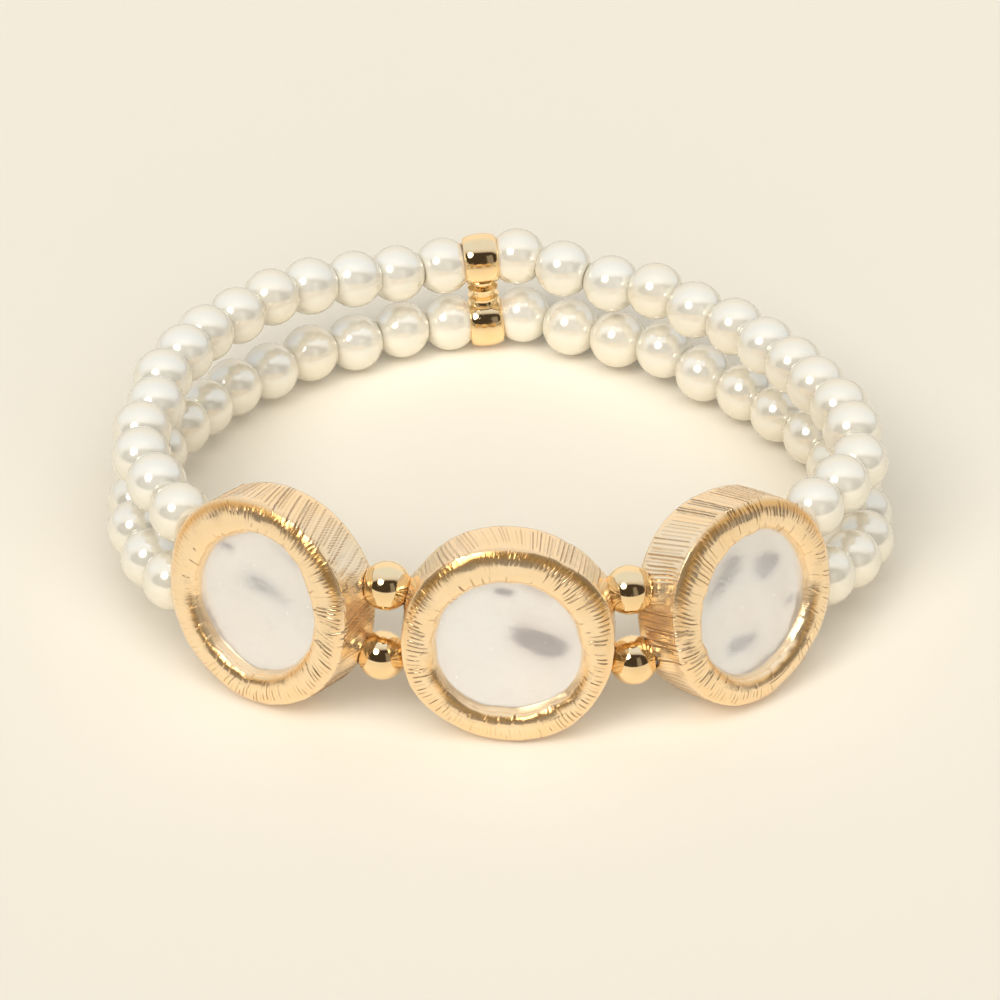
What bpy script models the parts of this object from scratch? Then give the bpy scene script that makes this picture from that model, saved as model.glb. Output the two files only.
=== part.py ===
"""Two-strand pearl bracelet with three gold bezels, standing on its edge.

Two elastic strands of pearls run side by side. At the front they pass through
three round gold bezels, each with a hammered shell inlay, and through a pair of
gold balls between each two bezels. At the back they pass through a gold spacer
bar that holds them apart. +Z is up, -Y is the front, and the origin is at the
middle of the bounding box on the floor.
"""

import math

import bmesh
import bpy
from mathutils import Matrix, Vector

MM = 0.001

# The loop: its width between the pearls at its widest, and its depth from the
# centre bezel to the spacer
LOOP_WIDTH = 60.2 * MM
LOOP_DEPTH = 57.3 * MM

# Pearls and the elastic they are strung on
PEARL_D = 5.0 * MM
PEARL_LENGTH = 4.2 * MM
PEARL_GAP = 0.12 * MM
PEARL_SIDES = 12
PEARL_BANDS = 6
CORD_D = 0.7 * MM
STRAND_SPACING = 6.2 * MM

# Gold balls between the bezels
BALL_D = 3.9 * MM
BALL_BORE = 1.4 * MM
BALL_BANDS = 8

# Bezels: diameter, depth, and the rounded edges of the front ring
BEZEL_D = 17.0 * MM
BEZEL_DEPTH = 4.4 * MM
BACK_EDGE = 0.25 * MM
RIM_WIDTH = 0.9 * MM
RIM_DROP = 0.6 * MM
LIP_WIDTH = 0.4 * MM
LIP_DROP = 0.4 * MM
RECESS_DEPTH = 1.9 * MM
BEZEL_SEGMENTS = 36

# The elastic's holes through a bezel
HOLE_D = 1.5 * MM
HOLE_FROM_BACK = 1.25 * MM
HOLE_RISE = 0.4 * MM
HOLE_SIDES = 10

# Hammered inlays
INLAY_D = 11.6 * MM
INLAY_THICKNESS = 0.9 * MM
INLAY_EDGE = 0.2 * MM
INLAY_RINGS = 4
DENT_DEPTH = 0.3 * MM

# Spacer bar at the back
BARREL_D = 4.4 * MM
BARREL_WIDTH = 2.8 * MM
BARREL_BORE = 3.0 * MM
BARREL_CROWN = 0.35 * MM
BARREL_SIDES = 16
NECK_D = 1.9 * MM
NECK_RIDGE_D = 2.5 * MM
NECK_SINK = 0.35 * MM
NECK_PROFILE = ((-1, NECK_D), (-0.5, NECK_D), (-0.35, NECK_RIDGE_D), (-0.15, NECK_D),
                (0.15, NECK_D), (0.35, NECK_RIDGE_D), (0.5, NECK_D), (1, NECK_D))

# Space left between pieces that touch on the real bracelet
CLEARANCE = 0.2 * MM

# Where each bezel stands in plan, how far it is turned, and how far it leans back
BEZELS = {
    "left": {"x": -17.8 * MM, "y": -26.8 * MM, "yaw": -35.0, "lean": 9.0},
    "centre": {"x": 0.75 * MM, "y": -31.9 * MM, "yaw": -2.0, "lean": 7.0},
    "right": {"x": 18.2 * MM, "y": -26.9 * MM, "yaw": 41.0, "lean": 12.0},
}

# Organic outlines: shares of the radius every 30 degrees, from +X towards +Z
BEZEL_OUTLINE = {
    "left": (1.00, 1.02, 1.00, 0.99, 1.01, 1.01, 0.99, 1.00, 1.00, 1.01, 1.00, 1.00),
    "centre": (0.98, 1.01, 0.99, 0.99, 1.01, 1.00, 0.99, 1.01, 0.99, 1.00, 1.02, 0.99),
    "right": (1.00, 1.00, 1.00, 0.99, 1.02, 1.00, 0.97, 1.00, 1.01, 1.01, 0.98, 1.00),
}
OPENING_OUTLINE = {
    "left": (0.99, 0.97, 1.02, 1.02, 0.97, 0.99, 1.01, 1.02, 1.03, 1.06, 1.03, 1.01),
    "centre": (1.01, 0.98, 1.00, 1.01, 0.96, 1.03, 1.05, 1.05, 1.03, 1.00, 0.99, 0.99),
    "right": (1.04, 1.03, 1.02, 0.95, 0.92, 0.91, 0.94, 1.00, 1.06, 1.08, 1.05, 1.03),
}

# Dents of each inlay: across, up and width as shares of its radius, depth as a
# share of DENT_DEPTH
DENTS = {
    "left": ((0.25, 0.25, 0.50, 1.0), (-0.35, 0.70, 0.30, 0.6), (0.10, -0.45, 0.45, 0.5)),
    "centre": ((0.35, 0.05, 0.45, 1.0), (-0.05, 0.65, 0.30, 0.5), (-0.45, -0.20, 0.50, 0.5)),
    "right": ((0.20, 0.45, 0.40, 1.0), (-0.40, 0.50, 0.40, 0.8), (-0.10, -0.55, 0.40, 0.7),
              (0.60, 0.00, 0.25, 0.6)),
}

# Where the spacer stands across the loop, how far it is turned and rolled
SPACER = {"x": -1.5 * MM, "yaw": 6.0, "roll": 5.0}

# The route of each strand from the spacer to the side bezels: across as a share
# of half the loop's width, back from the centre bezel as a share of its depth, and
# up from a pearl that lies on the floor as a share of the strands' spacing
ROUTE = {
    ("upper", "left"): [(-0.292, 0.960, 1.065), (-0.548, 0.883, 1.258), (-0.754, 0.771, 1.387),
                        (-0.890, 0.635, 1.500), (-0.973, 0.487, 1.565), (-0.973, 0.335, 1.613)],
    ("upper", "right"): [(0.186, 0.972, 1.048), (0.449, 0.894, 1.081), (0.674, 0.787, 1.145),
                         (0.831, 0.651, 1.274), (0.944, 0.503, 1.419), (0.970, 0.347, 1.500)],
    ("lower", "left"): [(-0.282, 0.962, 0.048), (-0.545, 0.881, 0.113), (-0.757, 0.770, 0.210),
                        (-0.907, 0.632, 0.355), (-0.990, 0.480, 0.435), (-0.997, 0.323, 0.500)],
    ("lower", "right"): [(0.206, 0.969, 0.065), (0.472, 0.885, 0.113), (0.704, 0.771, 0.097),
                         (0.884, 0.637, 0.113), (0.983, 0.482, 0.161), (1.000, 0.326, 0.290)],
}
ROUTE_STEPS = 24

LEVELS = {"upper": 0.5, "lower": -0.5}
BALL_PAIRS = {"left": ("left", "centre"), "right": ("centre", "right")}


def clear_scene():
    for obj in list(bpy.data.objects):
        bpy.data.objects.remove(obj, do_unlink=True)


def make_material(name, colour, roughness, metallic):
    material = bpy.data.materials.new(name)
    material.use_nodes = True
    shader = material.node_tree.nodes["Principled BSDF"]
    shader.inputs["Base Color"].default_value = (*colour, 1.0)
    shader.inputs["Roughness"].default_value = roughness
    shader.inputs["Metallic"].default_value = metallic
    material.diffuse_color = (*colour, 1.0)
    return material


def link(obj, material, parent=None):
    bpy.context.scene.collection.objects.link(obj)
    if material is not None:
        obj.data.materials.append(material)
    obj.parent = parent
    return obj


def lofted(name, rings, material, parent=None, closed=False):
    """One closed body through rings of points. It is capped at both ends, or
    bends back on itself where it is closed."""
    bm = bmesh.new()
    loops = [[bm.verts.new(point) for point in ring] for ring in rings]
    for near, far in zip(loops, loops[1:] + (loops[:1] if closed else [])):
        for i in range(len(near)):
            j = (i + 1) % len(near)
            bm.faces.new((near[i], near[j], far[j], far[i]))
    if not closed:
        bm.faces.new(loops[0])
        bm.faces.new(loops[-1])
    bmesh.ops.recalc_face_normals(bm, faces=bm.faces)
    mesh = bpy.data.meshes.new(name)
    bm.to_mesh(mesh)
    bm.free()
    mesh.shade_smooth()
    mesh.set_sharp_from_angle(angle=math.radians(40))
    return link(bpy.data.objects.new(name, mesh), material, parent)


def ring_about(centre, tangent, radius, sides):
    """A ring of points square to the tangent, whose first point is uppermost."""
    tangent = tangent.normalized()
    across = tangent.cross(Vector((0, 0, 1))).normalized()
    upward = across.cross(tangent)
    turns = [2 * math.pi * i / sides for i in range(sides)]
    return [centre + radius * (upward * math.cos(a) + across * math.sin(a)) for a in turns]


def turned(name, profile, sides, material, parent=None):
    """A ring-shaped body turned about X from a closed profile of (x, radius)."""
    along = Vector((1, 0, 0))
    rings = [ring_about(along * x, along, radius, sides) for x, radius in profile]
    return lofted(name, rings, material, parent, closed=True)


def cut(obj, cutter, operation="DIFFERENCE"):
    """Give obj a Boolean with a cutter that is only a guide."""
    cutter.hide_render = True
    cutter.display_type = "WIRE"
    modifier = obj.modifiers.new(cutter.name, "BOOLEAN")
    modifier.operation = operation
    modifier.solver = "EXACT"
    modifier.object = cutter


def smooth_between(before, start, end, after, t):
    """A Catmull-Rom curve from start to end, for numbers and for points."""
    return 0.5 * (2 * start + (end - before) * t
                  + (2 * before - 5 * start + 4 * end - after) * t ** 2
                  + (3 * (start - end) + after - before) * t ** 3)


def outline_share(shares, angle):
    """The share of the radius at an angle, on a smooth curve through the table."""
    place = angle / (2 * math.pi) * len(shares)
    i = math.floor(place)
    return smooth_between(*(shares[(i + k) % len(shares)] for k in (-1, 0, 1, 2)), place - i)


def outline(shares, radius, inset, depth):
    """A ring in a bezel's own frame: +X across, +Z up, +Y towards its back."""
    points = []
    for i in range(BEZEL_SEGMENTS):
        angle = 2 * math.pi * i / BEZEL_SEGMENTS
        r = radius * outline_share(shares, angle) - inset
        points.append(Vector((r * math.cos(angle), depth, r * math.sin(angle))))
    return points


FRONT_Y = HOLE_FROM_BACK - BEZEL_DEPTH
BACK_Y = HOLE_FROM_BACK


def bezel_rings(side):
    """From the flat back, round the wall and the front ring, down to the recess
    floor. Y is 0 where the strands pass."""
    outer = BEZEL_OUTLINE[side], BEZEL_D / 2
    inner = OPENING_OUTLINE[side], INLAY_D / 2 + CLEARANCE
    return [
        outline(*outer, BACK_EDGE, BACK_Y),
        outline(*outer, 0, BACK_Y - BACK_EDGE),
        outline(*outer, 0, FRONT_Y + RIM_DROP),
        outline(*outer, RIM_WIDTH * 0.4, FRONT_Y + RIM_DROP * 0.3),
        outline(*outer, RIM_WIDTH, FRONT_Y),
        outline(*inner, -LIP_WIDTH, FRONT_Y),
        outline(*inner, -LIP_WIDTH * 0.3, FRONT_Y + LIP_DROP * 0.4),
        outline(*inner, 0, FRONT_Y + LIP_DROP),
        outline(*inner, 0, FRONT_Y + RECESS_DEPTH),
    ]


def bezel_matrix(side):
    """Where a bezel stands: turned, leaning back, its lowest edge on the floor."""
    place = BEZELS[side]
    turn = Matrix.Rotation(math.radians(place["yaw"]), 4, "Z")
    turn @= Matrix.Rotation(math.radians(-place["lean"]), 4, "X")
    lowest = min((turn @ point).z for ring in bezel_rings(side) for point in ring)
    return Matrix.Translation((place["x"], place["y"], -lowest)) @ turn


def hole_height(level):
    return HOLE_RISE + LEVELS[level] * STRAND_SPACING


def hole_mouth(side, level, end):
    """Where a strand's axis leaves a bezel's wall, at its +X or -X end."""
    height = hole_height(level)
    reach = BEZEL_D / 2
    for _ in range(8):
        angle = math.atan2(height, end * reach) % (2 * math.pi)
        radius = BEZEL_D / 2 * outline_share(BEZEL_OUTLINE[side], angle)
        reach = math.sqrt(radius ** 2 - height ** 2)
    return bezel_matrix(side) @ Vector((end * reach, 0, height))


def ball_matrix(pair, level):
    """Where a ball sits: midway between two bezels, its hole along the strand."""
    start = hole_mouth(pair[0], level, 1)
    end = hole_mouth(pair[1], level, -1)
    turn = (end - start).to_track_quat("X", "Z").to_matrix().to_4x4()
    return Matrix.Translation((start + end) / 2) @ turn


def make_seat(pair, level, parent):
    """The space that a ball and its clearance take up."""
    bm = bmesh.new()
    bmesh.ops.create_uvsphere(bm, u_segments=PEARL_SIDES, v_segments=BALL_BANDS,
                              radius=BALL_D / 2 + CLEARANCE)
    mesh = bpy.data.meshes.new("ball_seat")
    bm.to_mesh(mesh)
    bm.free()
    seat = link(bpy.data.objects.new("ball_seat", mesh), None, parent)
    seat.matrix_basis = ball_matrix(pair, level)
    return seat


def make_bezel(side, gold, parent):
    """A cup with a rounded front ring, drilled for both strands, whose wall is
    scooped where a ball bears on it."""
    bezel = lofted("bezel_" + side, bezel_rings(side), gold, parent)
    bezel.matrix_basis = bezel_matrix(side)
    reach = BEZEL_D * 0.6
    for level in LEVELS:
        middle = Vector((0, 0, hole_height(level)))
        along = Vector((1, 0, 0))
        ends = [ring_about(middle + along * x, along, HOLE_D / 2, HOLE_SIDES) for x in (-reach, reach)]
        hole = lofted("hole_" + side + "_" + level, ends, None, parent)
        hole.matrix_basis = bezel_matrix(side)
        cut(bezel, hole)
        for pair in BALL_PAIRS.values():
            if side in pair:
                cut(bezel, make_seat(pair, level, parent))


def dent_depth(side, x, z):
    """How far the hammered face lies below its crown at a point, in metres."""
    radius = INLAY_D / 2
    depth = 0.0
    for across, up, width, share in DENTS[side]:
        away = math.hypot(x / radius - across, z / radius - up) / width
        depth += share * DENT_DEPTH * math.exp(-2 * away ** 2)
    return depth


def make_inlay(side, shell, parent):
    """A hammered plate in the bezel's recess, clear of its wall and floor."""
    size = OPENING_OUTLINE[side], INLAY_D / 2
    floor_y = FRONT_Y + RECESS_DEPTH - CLEARANCE
    face_y = floor_y - INLAY_THICKNESS
    rings = [outline(*size, 0, floor_y), outline(*size, 0, face_y + INLAY_EDGE)]
    edge = outline(*size, INLAY_EDGE, face_y)
    for step in range(INLAY_RINGS):
        share = 1 - step / INLAY_RINGS
        ring = [Vector((p.x * share, p.y, p.z * share)) for p in edge]
        for point in ring:
            point.y += dent_depth(side, point.x, point.z) * (step > 0)
        rings.append(ring)
    inlay = lofted("inlay_" + side, rings, shell, parent)
    inlay.matrix_basis = bezel_matrix(side)


def ball_profile(diameter, length, bore, bands):
    """Half an oval of revolution, from one mouth of its hole to the other."""
    start = math.asin(bore / diameter)
    angles = [start + (math.pi - 2 * start) * i / bands for i in range(bands + 1)]
    return [(-math.cos(a) * length / 2, math.sin(a) * diameter / 2) for a in angles]


def make_ball(side, level, gold, parent):
    profile = ball_profile(BALL_D, BALL_D, BALL_BORE, BALL_BANDS)
    ball = turned("gold_ball_" + side + "_" + level, profile, PEARL_SIDES, gold, parent)
    ball.matrix_basis = ball_matrix(BALL_PAIRS[side], level)


def seat_reach():
    """How far from the spacer's middle the first pearl sits in its ring's bore."""
    nested = math.sqrt(1 - (BARREL_BORE / PEARL_D) ** 2) * PEARL_LENGTH / 2
    return BARREL_WIDTH / 2 + CLEARANCE + nested


def spacer_matrix():
    """Where the spacer stands: its lower neighbour pearl touches the floor."""
    roll = math.radians(SPACER["roll"])
    turn = Matrix.Rotation(math.radians(SPACER["yaw"]), 4, "Z") @ Matrix.Rotation(-roll, 4, "Y")
    lift = PEARL_D / 2 + STRAND_SPACING / 2 * math.cos(roll) + seat_reach() * math.sin(roll)
    return Matrix.Translation((SPACER["x"], BEZELS["centre"]["y"] + LOOP_DEPTH, lift)) @ turn


def make_spacer(gold, parent):
    """Two crowned rings on a ridged neck, in one piece."""
    half = BARREL_WIDTH / 2
    flat = BARREL_D / 2 - BARREL_CROWN
    profile = [(-half, BARREL_BORE / 2), (-half, flat), (-half * 0.75, BARREL_D / 2 - BARREL_CROWN * 0.3),
               (0, BARREL_D / 2), (half * 0.75, BARREL_D / 2 - BARREL_CROWN * 0.3),
               (half, flat), (half, BARREL_BORE / 2)]
    spacer = turned("back_spacer", profile, BARREL_SIDES, gold, parent)
    spacer.matrix_basis = spacer_matrix() @ Matrix.Translation((0, 0, STRAND_SPACING / 2))
    lower = turned("spacer_lower_ring", profile, BARREL_SIDES, None, parent)
    lower.matrix_basis = spacer_matrix() @ Matrix.Translation((0, 0, -STRAND_SPACING / 2))
    reach = STRAND_SPACING / 2 - BARREL_D / 2 + NECK_SINK
    rings = []
    turns = [2 * math.pi * i / PEARL_SIDES for i in range(PEARL_SIDES)]
    for share, diameter in NECK_PROFILE:
        rings.append([Vector((math.cos(a) * diameter / 2, math.sin(a) * diameter / 2, share * reach))
                      for a in turns])
    neck = lofted("spacer_neck", rings, None, parent)
    neck.matrix_basis = spacer_matrix()
    cut(spacer, neck, "UNION")
    cut(spacer, lower, "UNION")


def route_point(across, back, up):
    """A point of the route from its shares of the loop."""
    return Vector((across * LOOP_WIDTH / 2, BEZELS["centre"]["y"] + back * LOOP_DEPTH,
                   PEARL_D / 2 + up * STRAND_SPACING))


def smooth_route(points):
    """Points along a smooth curve through the given ones, between the second and
    the last but one."""
    fine = []
    for before, start, end, after in zip(points, points[1:], points[2:], points[3:]):
        fine += [smooth_between(before, start, end, after, step / ROUTE_STEPS)
                 for step in range(ROUTE_STEPS)]
    fine.append(points[-2])
    return fine


def pearl_places(level, side):
    """Centres and directions of one run of pearls, from the spacer outwards. They
    share out the route between the spacer's ring and the bezel's wall."""
    way = -1 if side == "left" else 1
    ring = spacer_matrix() @ Matrix.Translation((0, 0, LEVELS[level] * STRAND_SPACING))
    inside = ring @ Vector((0, 0, 0))
    seat = ring @ Vector((way * seat_reach(), 0, 0))
    mouth = hole_mouth(side, level, way)
    beyond = hole_mouth(side, level, -way)
    last = mouth + (mouth - beyond).normalized() * (PEARL_LENGTH / 2 + 2 * CLEARANCE)
    chosen = [route_point(*shares) for shares in ROUTE[level, side]]
    fine = smooth_route([inside, seat, *chosen, last, mouth])
    lengths = [0.0]
    for start, end in zip(fine, fine[1:]):
        lengths.append(lengths[-1] + (end - start).length)
    count = int(lengths[-1] // (PEARL_LENGTH + PEARL_GAP)) + 1
    places = []
    for i in range(count):
        target = lengths[-1] * i / (count - 1)
        k = max(1, next((j for j, reached in enumerate(lengths) if reached >= target), len(fine) - 1))
        share = (target - lengths[k - 1]) / (lengths[k] - lengths[k - 1])
        places.append((fine[k - 1].lerp(fine[k], share), (fine[k] - fine[k - 1]).normalized()))
    return places


def make_strand(level, pearl, parent):
    """Pearls fused on their elastic, one closed loop through every other piece."""
    profile = ball_profile(PEARL_D, PEARL_LENGTH, CORD_D, PEARL_BANDS)
    stations = []
    for centre, along in pearl_places(level, "left"):
        stations += [(centre + along * x, along, radius) for x, radius in profile]
    for side in ("left", "centre", "right"):
        start, end = hole_mouth(side, level, -1), hole_mouth(side, level, 1)
        stations += [(start, end - start, CORD_D / 2), (end, end - start, CORD_D / 2)]
    for centre, along in reversed(pearl_places(level, "right")):
        stations += [(centre - along * x, -along, radius) for x, radius in profile]
    rings = [ring_about(centre, along, radius, PEARL_SIDES) for centre, along, radius in stations]
    lofted("pearls_" + level, rings, pearl, parent, closed=True)


def stand_on_origin(root):
    """Move the whole bracelet so that the middle of its box on the floor is the
    origin."""
    bpy.context.view_layer.update()
    points = [obj.matrix_world @ vertex.co for obj in bpy.context.scene.objects
              if obj.type == "MESH" and not obj.hide_render for vertex in obj.data.vertices]
    low = Vector([min(p[axis] for p in points) for axis in range(3)])
    high = Vector([max(p[axis] for p in points) for axis in range(3)])
    root.location = (-(low.x + high.x) / 2, -(low.y + high.y) / 2, -low.z)


def main():
    clear_scene()
    gold = make_material("gold", (0.86, 0.62, 0.34), 0.16, 1.0)
    pearl = make_material("pearl", (0.90, 0.87, 0.80), 0.18, 0.0)
    shell = make_material("shell", (0.86, 0.82, 0.77), 0.12, 0.0)
    root = bpy.data.objects.new("bracelet", None)
    bpy.context.scene.collection.objects.link(root)

    for side in BEZELS:
        make_bezel(side, gold, root)
        make_inlay(side, shell, root)
    for level in LEVELS:
        for side in BALL_PAIRS:
            make_ball(side, level, gold, root)
        make_strand(level, pearl, root)
    make_spacer(gold, root)
    stand_on_origin(root)


main()
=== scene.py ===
"""Two-strand pearl bracelet: its fine shapes, finishes, floor, light and camera.

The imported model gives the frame. Each group of like pieces is made by an operator
of its own around the nodes that it stands for. Lengths are in metres, +Z is up
and -Y is the front.
"""

import math

import bpy
import numpy as np
from bpy.props import FloatProperty, FloatVectorProperty, PointerProperty
from mathutils import Matrix, Vector


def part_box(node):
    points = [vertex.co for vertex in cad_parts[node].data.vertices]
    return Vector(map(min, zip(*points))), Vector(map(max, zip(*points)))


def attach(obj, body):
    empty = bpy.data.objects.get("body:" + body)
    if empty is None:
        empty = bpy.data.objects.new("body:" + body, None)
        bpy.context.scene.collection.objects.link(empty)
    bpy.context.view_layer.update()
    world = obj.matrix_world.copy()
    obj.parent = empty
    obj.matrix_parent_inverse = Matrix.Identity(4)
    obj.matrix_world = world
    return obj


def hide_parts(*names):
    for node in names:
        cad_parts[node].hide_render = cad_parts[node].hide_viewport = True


bl_info = {
    "name": "Pearl Bracelet",
    "version": (1, 0, 0),
    "blender": (4, 5, 0),
    "location": "3D View > Sidebar > Bracelet",
    "description": "Makes a two-strand pearl bracelet with hammered gold bezels",
    "category": "Add Mesh",
}

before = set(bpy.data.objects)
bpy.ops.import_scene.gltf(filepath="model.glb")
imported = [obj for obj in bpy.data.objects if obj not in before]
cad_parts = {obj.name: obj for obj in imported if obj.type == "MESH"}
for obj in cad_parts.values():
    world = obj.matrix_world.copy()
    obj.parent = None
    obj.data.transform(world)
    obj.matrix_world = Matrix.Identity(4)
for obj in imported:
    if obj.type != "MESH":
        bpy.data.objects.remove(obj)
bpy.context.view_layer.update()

MM = 0.001
BODY = "root"
LEVELS = ("upper", "lower")
SIDES = ("left", "centre", "right")

# Each bezel: the place of its strands' plane, its turn and how far it leans back
BEZEL_PLACES = {
    "left": ((-17.793, -22.894, 8.636), -35.0, 9.0),
    "centre": ((0.757, -27.994, 8.559), -2.0, 7.0),
    "right": ((18.207, -22.994, 8.605), 41.0, 12.0),
}
# Each bezel as cast: its radius, how far its crown and its back stand from that plane,
# and how far it is raised to stand on the floor (mm)
BEZEL_CASTS = {
    "left": (8.68, -3.65, 1.40, 0.18),
    "centre": (8.54, -3.60, 1.35, 0.04),
    "right": (8.52, -3.65, 1.60, 0.06),
}
# The usual radii of a bezel and of its opening (mm)
BEZEL_RADIUS = 8.5
OPENING_RADIUS = 6.0

# Organic outlines: shares of the radius every 30 degrees, from +X towards +Z
BEZEL_OUTLINE = {
    "left": (1.00, 1.02, 1.00, 0.99, 1.01, 1.01, 0.99, 1.00, 1.00, 1.01, 1.00, 1.00),
    "centre": (0.98, 1.01, 0.99, 0.99, 1.01, 1.00, 0.99, 1.01, 0.99, 1.00, 1.02, 0.99),
    "right": (1.00, 1.00, 1.00, 0.99, 1.02, 1.00, 0.97, 1.00, 1.01, 1.01, 0.98, 1.00),
}
OPENING_OUTLINE = {
    "left": (0.99, 0.97, 1.02, 1.02, 0.97, 0.99, 1.01, 1.02, 1.03, 1.06, 1.03, 1.01),
    "centre": (0.99, 0.95, 0.94, 0.94, 0.96, 0.99, 1.00, 1.04, 1.05, 1.03, 1.05, 1.07),
    "right": (1.04, 1.03, 1.02, 0.95, 0.92, 0.91, 0.94, 1.00, 1.06, 1.08, 1.05, 1.03),
}

# How strongly the file marked each wall and the chisel each ring, every 30 degrees
MARK_SEEDS = {"left": 11, "centre": 23, "right": 37}
FILE_MARKS = {
    "left": (1.3, 1.3, 1.2, 1.5, 1.3, 1.0, 0.9, 0.9, 0.9, 0.9, 1.0, 1.2),
    "centre": (1.0, 1.1, 1.7, 0.3, 1.4, 1.2, 1.0, 0.9, 0.9, 0.9, 0.9, 1.0),
    "right": (1.0, 1.0, 1.1, 1.5, 1.2, 1.4, 1.3, 1.2, 1.0, 0.9, 0.9, 1.0),
}
CHISEL_MARKS = {
    "left": (1.3, 1.2, 0.9, 0.7, 0.5, 0.3, 0.3, 0.35, 0.6, 0.8, 1.0, 1.3),
    "centre": (1.3, 1.4, 1.0, 0.5, 0.35, 1.5, 1.7, 0.8, 0.5, 0.6, 0.8, 1.0),
    "right": (0.9, 1.2, 1.1, 0.9, 1.1, 1.5, 1.8, 1.5, 0.6, 0.7, 0.9, 0.8),
}

# Section of a bezel from its back edge, over the wall and the ring, to the floor of
# its recess: what it is measured from, the offset outwards, the depth behind the crown
# or before the back, and the rows of faces up to the next station (mm)
BEZEL_SECTION = (
    ("back", -0.30, 0.00, 2), ("back", -0.08, 0.06, 2), ("back", 0.00, 0.28, 4),
    ("back", 0.00, 1.00, 9), ("ring", 0.00, 1.40, 4), ("ring", 0.00, 0.86, 2),
    ("ring", 0.05, 0.76, 2), ("ring", 0.03, 0.66, 2), ("ring", -0.10, 0.53, 3),
    ("ring", -0.40, 0.31, 4), ("ring", -0.80, 0.12, 4), ("ring", -1.30, 0.01, 2),
    ("lip", 0.95, 0.00, 3), ("lip", 0.60, 0.05, 4), ("lip", 0.25, 0.20, 4),
    ("lip", -0.03, 0.47, 3), ("lip", -0.20, 0.80, 3), ("lip", -0.29, 1.15, 2),
    ("lip", -0.31, 1.70, 0),
)

# How deep the wall ends, how far from the recess's wall the lip starts, how softly a
# score starts (mm), and how the gold's fine lines are stretched along the section
WALL_DEPTH = 0.75
LIP_REACH = 0.9
SCORE_START = 0.12
COMB_STRETCH = 0.12

# How high the strands' holes leave a bezel's wall, how far the wall swells round them
# and over what distances, how far out it is there at least, and how far a ball's bed
# stands off the ball (mm)
HOLE_HEIGHTS = {"upper": 3.5, "lower": -2.7}
MOUTH_SWELL = 0.4
MOUTH_REACH = (0.5, 2.2)
WALL_ACROSS = 5
BALL_SEAT = 0.04

# How finely the pieces are made, and the angle from which an edge is sharp (degrees)
BEZEL_COLUMNS = 1400
INLAY_COLUMNS = 180
INLAY_RINGS = 64
PEARL_SIDES = 40
PEARL_STEPS = 25
BALL_SIDES = 64
BALL_STEPS = 41
RING_SIDES = 96
NECK_SIDES = 64
ELASTIC_SIDES = 12
CURVE_STEPS = 24
SHARP_ANGLE = 50.0

# Relief of each inlay: centre across and up, half length, half width (mm), turn in
# degrees, and how steeply its face tips up there
INLAY_DENTS = {
    "left": (
        (1.0, 1.2, 3.3, 1.6, -3, 0.21), (-3.7, 3.6, 1.1, 0.8, -5, 0.26),
        (2.4, 4.6, 2.0, 0.8, -20, 0.24), (-1.5, -2.4, 2.8, 1.5, 20, -0.08),
        (2.4, -3.2, 2.0, 1.2, -30, -0.08)),
    "centre": (
        (2.4, 0.1, 2.5, 1.3, -25, 0.38), (-0.3, 4.4, 1.0, 0.55, -12, 0.28),
        (2.3, 4.6, 1.5, 0.6, -30, 0.30), (-2.6, 0.8, 2.4, 1.9, 30, -0.06),
        (0.2, -3.0, 2.6, 1.3, 5, -0.06)),
    "right": (
        (-2.0, 3.0, 2.7, 1.6, 42, 0.23), (2.5, 1.9, 1.8, 1.6, 10, 0.24),
        (4.2, -1.7, 0.9, 0.8, 10, 0.24), (-1.0, -3.4, 2.0, 1.2, -10, 0.22),
        (0.9, -0.9, 2.4, 1.4, 15, -0.08)),
}

# How deep an inlay's face and back lie, how far its edge stands out of the opening
# (mm), the slope from which a dark reflection is painted in a dent, and the range to its full
# strength
INLAY_FACE = 1.15
INLAY_BACK = 1.72
INLAY_TUCK = -0.22
DENT_REFLECTION_SLOPE = 0.2
DENT_REFLECTION_RANGE = 0.18

# The points that each run of pearls follows, from the spacer's bore to the wall of
# its side bezel (mm)
RUNS = {
    ("upper", "left"): (
        (-1.76, 29.28, 8.96), (-5.01, 28.94, 8.68), (-8.78, 27.01, 8.85), (-16.49, 22.60, 10.05),
        (-22.69, 16.18, 10.85), (-26.78, 8.39, 11.55), (-29.28, -0.09, 11.95),
        (-29.28, -8.80, 12.25), (-25.92, -16.53, 12.09), (-23.88, -17.97, 12.09)),
    ("upper", "right"): (
        (-1.76, 29.28, 8.96), (1.49, 29.62, 9.25), (5.61, 27.70, 8.75), (13.52, 23.23, 8.95),
        (20.29, 17.10, 9.35), (25.02, 9.31, 10.15), (28.42, 0.83, 11.05),
        (29.20, -8.11, 11.55), (25.46, -15.72, 12.03), (23.58, -17.36, 12.03)),
    ("lower", "left"): (
        (-1.22, 29.33, 2.79), (-4.47, 28.99, 2.50), (-8.48, 27.43, 2.80), (-16.40, 22.79, 3.20),
        (-22.78, 16.43, 3.80), (-27.29, 8.52, 4.70), (-29.79, -0.19, 5.20),
        (-30.00, -9.19, 5.60), (-26.65, -17.21, 5.97), (-24.60, -18.64, 5.97)),
    ("lower", "right"): (
        (-1.22, 29.33, 2.79), (2.03, 29.68, 3.07), (6.21, 27.83, 2.90), (14.21, 23.02, 3.20),
        (21.20, 16.48, 3.10), (26.62, 8.81, 3.20), (29.60, -0.08, 3.50),
        (30.11, -9.01, 4.30), (26.55, -16.48, 5.96), (24.67, -18.12, 5.96)),
}
RUN_SEEDS = {("upper", "left"): 3, ("upper", "right"): 4, ("lower", "left"): 7, ("lower", "right"): 8}
TONE_SEEDS = {"upper": 5, "lower": 6}

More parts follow.
